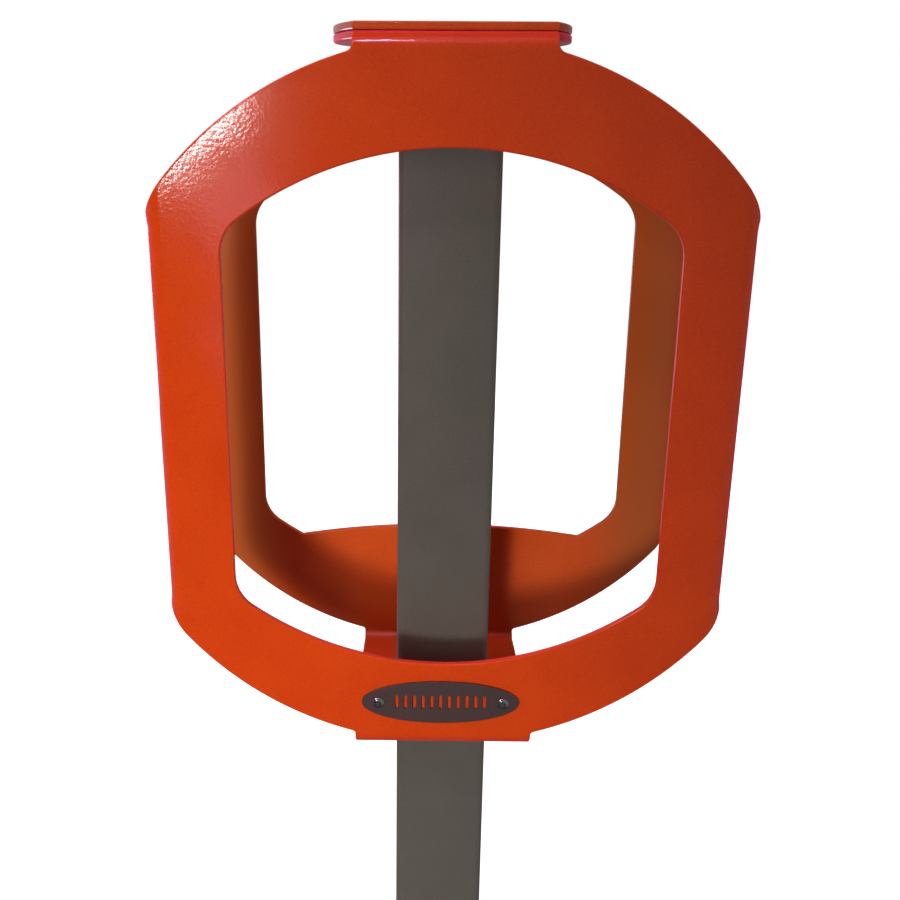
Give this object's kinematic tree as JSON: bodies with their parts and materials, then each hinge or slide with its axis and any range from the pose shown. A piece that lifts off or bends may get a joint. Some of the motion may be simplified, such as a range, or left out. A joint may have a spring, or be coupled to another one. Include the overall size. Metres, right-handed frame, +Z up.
{
  "type": "bicycle rack",
  "caption": "Bicycle rack: a ring of folded steel plates with wide windows, bolted round the top of a square post that stands on a flange plate.",
  "frame": {"origin": "on the ground, under the middle of the post", "axes": "+Z up along the post, +X to the right as the badge is read, +Y to the back of the rack"},
  "size_m": [0.357, 0.2032, 0.917],
  "materials": {
    "red_powder_coat": "orange-red powder coat, fine orange-peel, semi-gloss",
    "grey_powder_coat": "dark grey powder coat, satin",
    "badge_metal": "dark brown anodised",
    "stainless": "plain stainless",
    "zinc_plate": "zinc plated"
  },
  "bodies": {
    "root": {"ring_front_plate": "red_powder_coat", "ring_rear_plate": "red_powder_coat", "post_tube": "grey_powder_coat", "post_cap_plate": "grey_powder_coat", "post_cap_weld": "grey_powder_coat", "collar_plate": "grey_powder_coat", "collar_weld": "grey_powder_coat", "base_plate": "grey_powder_coat", "base_weld": "grey_powder_coat", "badge_plate": "badge_metal", "top_bolt_front_left": "stainless", "top_bolt_front_right": "stainless", "top_bolt_rear_left": "stainless", "top_bolt_rear_right": "stainless", "bottom_bolt_front_left": "stainless", "bottom_bolt_front_right": "stainless", "bottom_bolt_rear_left": "stainless", "bottom_bolt_rear_right": "stainless", "bottom_washer_front_left": "stainless", "bottom_washer_front_right": "stainless", "bottom_washer_rear_left": "stainless", "bottom_washer_rear_right": "stainless", "bottom_nut_front_left": "stainless", "bottom_nut_front_right": "stainless", "bottom_nut_rear_left": "stainless", "bottom_nut_rear_right": "stainless", "badge_screw_left": "stainless", "badge_screw_right": "stainless", "badge_washer_left": "stainless", "badge_washer_right": "stainless", "badge_nut_left": "stainless", "badge_nut_right": "stainless", "top_weld_nut_front_left": "zinc_plate", "top_weld_nut_front_right": "zinc_plate", "top_weld_nut_rear_left": "zinc_plate", "top_weld_nut_rear_right": "zinc_plate"}
  },
  "joints": []
}
